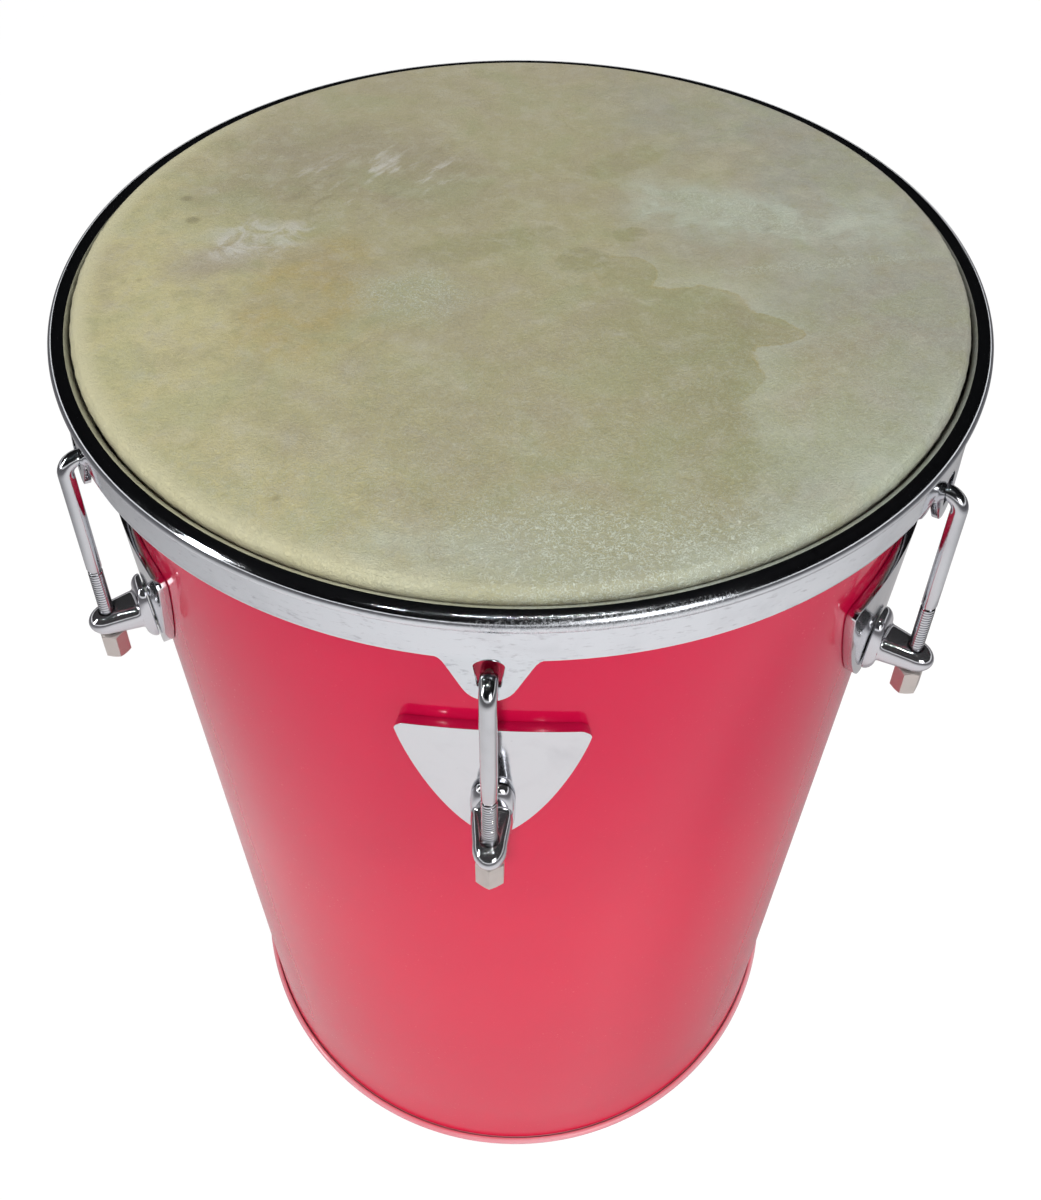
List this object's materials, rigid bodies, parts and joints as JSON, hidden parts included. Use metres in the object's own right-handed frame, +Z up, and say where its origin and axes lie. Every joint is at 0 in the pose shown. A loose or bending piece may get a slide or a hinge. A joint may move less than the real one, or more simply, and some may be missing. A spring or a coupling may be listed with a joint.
{
  "type": "rebolo drum",
  "caption": "Single-headed hand drum: open cylindrical red metal shell, goat skin held by a chromed hoop with hook rods, nuts and screwed lugs.",
  "frame": {"origin": "on the drum axis, at the plane that the bottom bead stands on", "axes": "+Z up along the drum axis, towards the skin; -Y towards the front lug"},
  "size_m": [0.3206, 0.3528, 0.4653],
  "materials": {
    "red_lacquer": "gloss lacquer",
    "goat_skin": "natural goat skin",
    "chrome": "polished chrome plate",
    "nickel": "nickel plate",
    "zinc_steel": "zinc plate"
  },
  "bodies": {
    "drum_body": {"shell": "red_lacquer", "drum_skin": "goat_skin", "flesh_hoop": "zinc_steel", "lug_plate_1": "chrome", "lug_arm_1": "chrome", "lug_screw_upper_1": "zinc_steel", "lug_screw_lower_1": "zinc_steel", "lug_washer_upper_1": "zinc_steel", "lug_washer_lower_1": "zinc_steel", "lug_plate_2": "chrome", "lug_arm_2": "chrome", "lug_screw_upper_2": "zinc_steel", "lug_screw_lower_2": "zinc_steel", "lug_washer_upper_2": "zinc_steel", "lug_washer_lower_2": "zinc_steel", "lug_plate_3": "chrome", "lug_arm_3": "chrome", "lug_screw_upper_3": "zinc_steel", "lug_screw_lower_3": "zinc_steel", "lug_washer_upper_3": "zinc_steel", "lug_washer_lower_3": "zinc_steel", "lug_plate_4": "chrome", "lug_arm_4": "chrome", "lug_screw_upper_4": "zinc_steel", "lug_screw_lower_4": "zinc_steel", "lug_washer_upper_4": "zinc_steel", "lug_washer_lower_4": "zinc_steel", "lug_plate_5": "chrome", "lug_arm_5": "chrome", "lug_screw_upper_5": "zinc_steel", "lug_screw_lower_5": "zinc_steel", "lug_washer_upper_5": "zinc_steel", "lug_washer_lower_5": "zinc_steel", "lug_plate_6": "chrome", "lug_arm_6": "chrome", "lug_screw_upper_6": "zinc_steel", "lug_screw_lower_6": "zinc_steel", "lug_washer_upper_6": "zinc_steel", "lug_washer_lower_6": "zinc_steel"},
    "hoop": {"counter_hoop": "chrome"},
    "rod_1": {"hook_rod_1": "chrome"},
    "nut_1": {"tuning_nut_1": "nickel"},
    "rod_2": {"hook_rod_2": "chrome"},
    "nut_2": {"tuning_nut_2": "nickel"},
    "rod_3": {"hook_rod_3": "chrome"},
    "nut_3": {"tuning_nut_3": "nickel"},
    "rod_4": {"hook_rod_4": "chrome"},
    "nut_4": {"tuning_nut_4": "nickel"},
    "rod_5": {"hook_rod_5": "chrome"},
    "nut_5": {"tuning_nut_5": "nickel"},
    "rod_6": {"hook_rod_6": "chrome"},
    "nut_6": {"tuning_nut_6": "nickel"}
  },
  "joints": [
    {"name": "hoop_tuning", "type": "slide", "parent": "drum_body", "child": "hoop", "axis": [0, 0, 1], "range_m": [0, 0.006]},
    {"name": "rod_slide_1", "type": "slide", "parent": "drum_body", "child": "rod_1", "axis": [0, 0.051, 0.9987], "range_m": [0, 0.00602]},
    {"name": "nut_turn_1", "type": "hinge", "parent": "drum_body", "child": "nut_1", "pos_m": [0, -0.1691, 0.3607], "axis": [0, 0.051, 0.9987], "range_deg": [-1731, 0]},
    {"name": "rod_slide_2", "type": "slide", "parent": "drum_body", "child": "rod_2", "axis": [-0.0442, 0.0255, 0.9987], "range_m": [0, 0.00602]},
    {"name": "nut_turn_2", "type": "hinge", "parent": "drum_body", "child": "nut_2", "pos_m": [0.14644, -0.08455, 0.3607], "axis": [-0.0442, 0.0255, 0.9987], "range_deg": [-1731, 0]},
    {"name": "rod_slide_3", "type": "slide", "parent": "drum_body", "child": "rod_3", "axis": [-0.0442, -0.0255, 0.9987], "range_m": [0, 0.00602]},
    {"name": "nut_turn_3", "type": "hinge", "parent": "drum_body", "child": "nut_3", "pos_m": [0.14644, 0.08455, 0.3607], "axis": [-0.0442, -0.0255, 0.9987], "range_deg": [-1731, 0]},
    {"name": "rod_slide_4", "type": "slide", "parent": "drum_body", "child": "rod_4", "axis": [0, -0.051, 0.9987], "range_m": [0, 0.00602]},
    {"name": "nut_turn_4", "type": "hinge", "parent": "drum_body", "child": "nut_4", "pos_m": [0, 0.1691, 0.3607], "axis": [0, -0.051, 0.9987], "range_deg": [-1731, 0]},
    {"name": "rod_slide_5", "type": "slide", "parent": "drum_body", "child": "rod_5", "axis": [0.0442, -0.0255, 0.9987], "range_m": [0, 0.00602]},
    {"name": "nut_turn_5", "type": "hinge", "parent": "drum_body", "child": "nut_5", "pos_m": [-0.14644, 0.08455, 0.3607], "axis": [0.0442, -0.0255, 0.9987], "range_deg": [-1731, 0]},
    {"name": "rod_slide_6", "type": "slide", "parent": "drum_body", "child": "rod_6", "axis": [0.0442, 0.0255, 0.9987], "range_m": [0, 0.00602]},
    {"name": "nut_turn_6", "type": "hinge", "parent": "drum_body", "child": "nut_6", "pos_m": [-0.14644, -0.08455, 0.3607], "axis": [0.0442, 0.0255, 0.9987], "range_deg": [-1731, 0]}
  ],
  "couplings": [
    {"joint": "rod_slide_1", "follows": "hoop_tuning", "ratio": 1.0013},
    {"joint": "nut_turn_1", "follows": "hoop_tuning", "rad_per_m": -5033.1},
    {"joint": "rod_slide_2", "follows": "hoop_tuning", "ratio": 1.0013},
    {"joint": "nut_turn_2", "follows": "hoop_tuning", "rad_per_m": -5033.1},
    {"joint": "rod_slide_3", "follows": "hoop_tuning", "ratio": 1.0013},
    {"joint": "nut_turn_3", "follows": "hoop_tuning", "rad_per_m": -5033.1},
    {"joint": "rod_slide_4", "follows": "hoop_tuning", "ratio": 1.0013},
    {"joint": "nut_turn_4", "follows": "hoop_tuning", "rad_per_m": -5033.1},
    {"joint": "rod_slide_5", "follows": "hoop_tuning", "ratio": 1.0013},
    {"joint": "nut_turn_5", "follows": "hoop_tuning", "rad_per_m": -5033.1},
    {"joint": "rod_slide_6", "follows": "hoop_tuning", "ratio": 1.0013},
    {"joint": "nut_turn_6", "follows": "hoop_tuning", "rad_per_m": -5033.1}
  ]
}
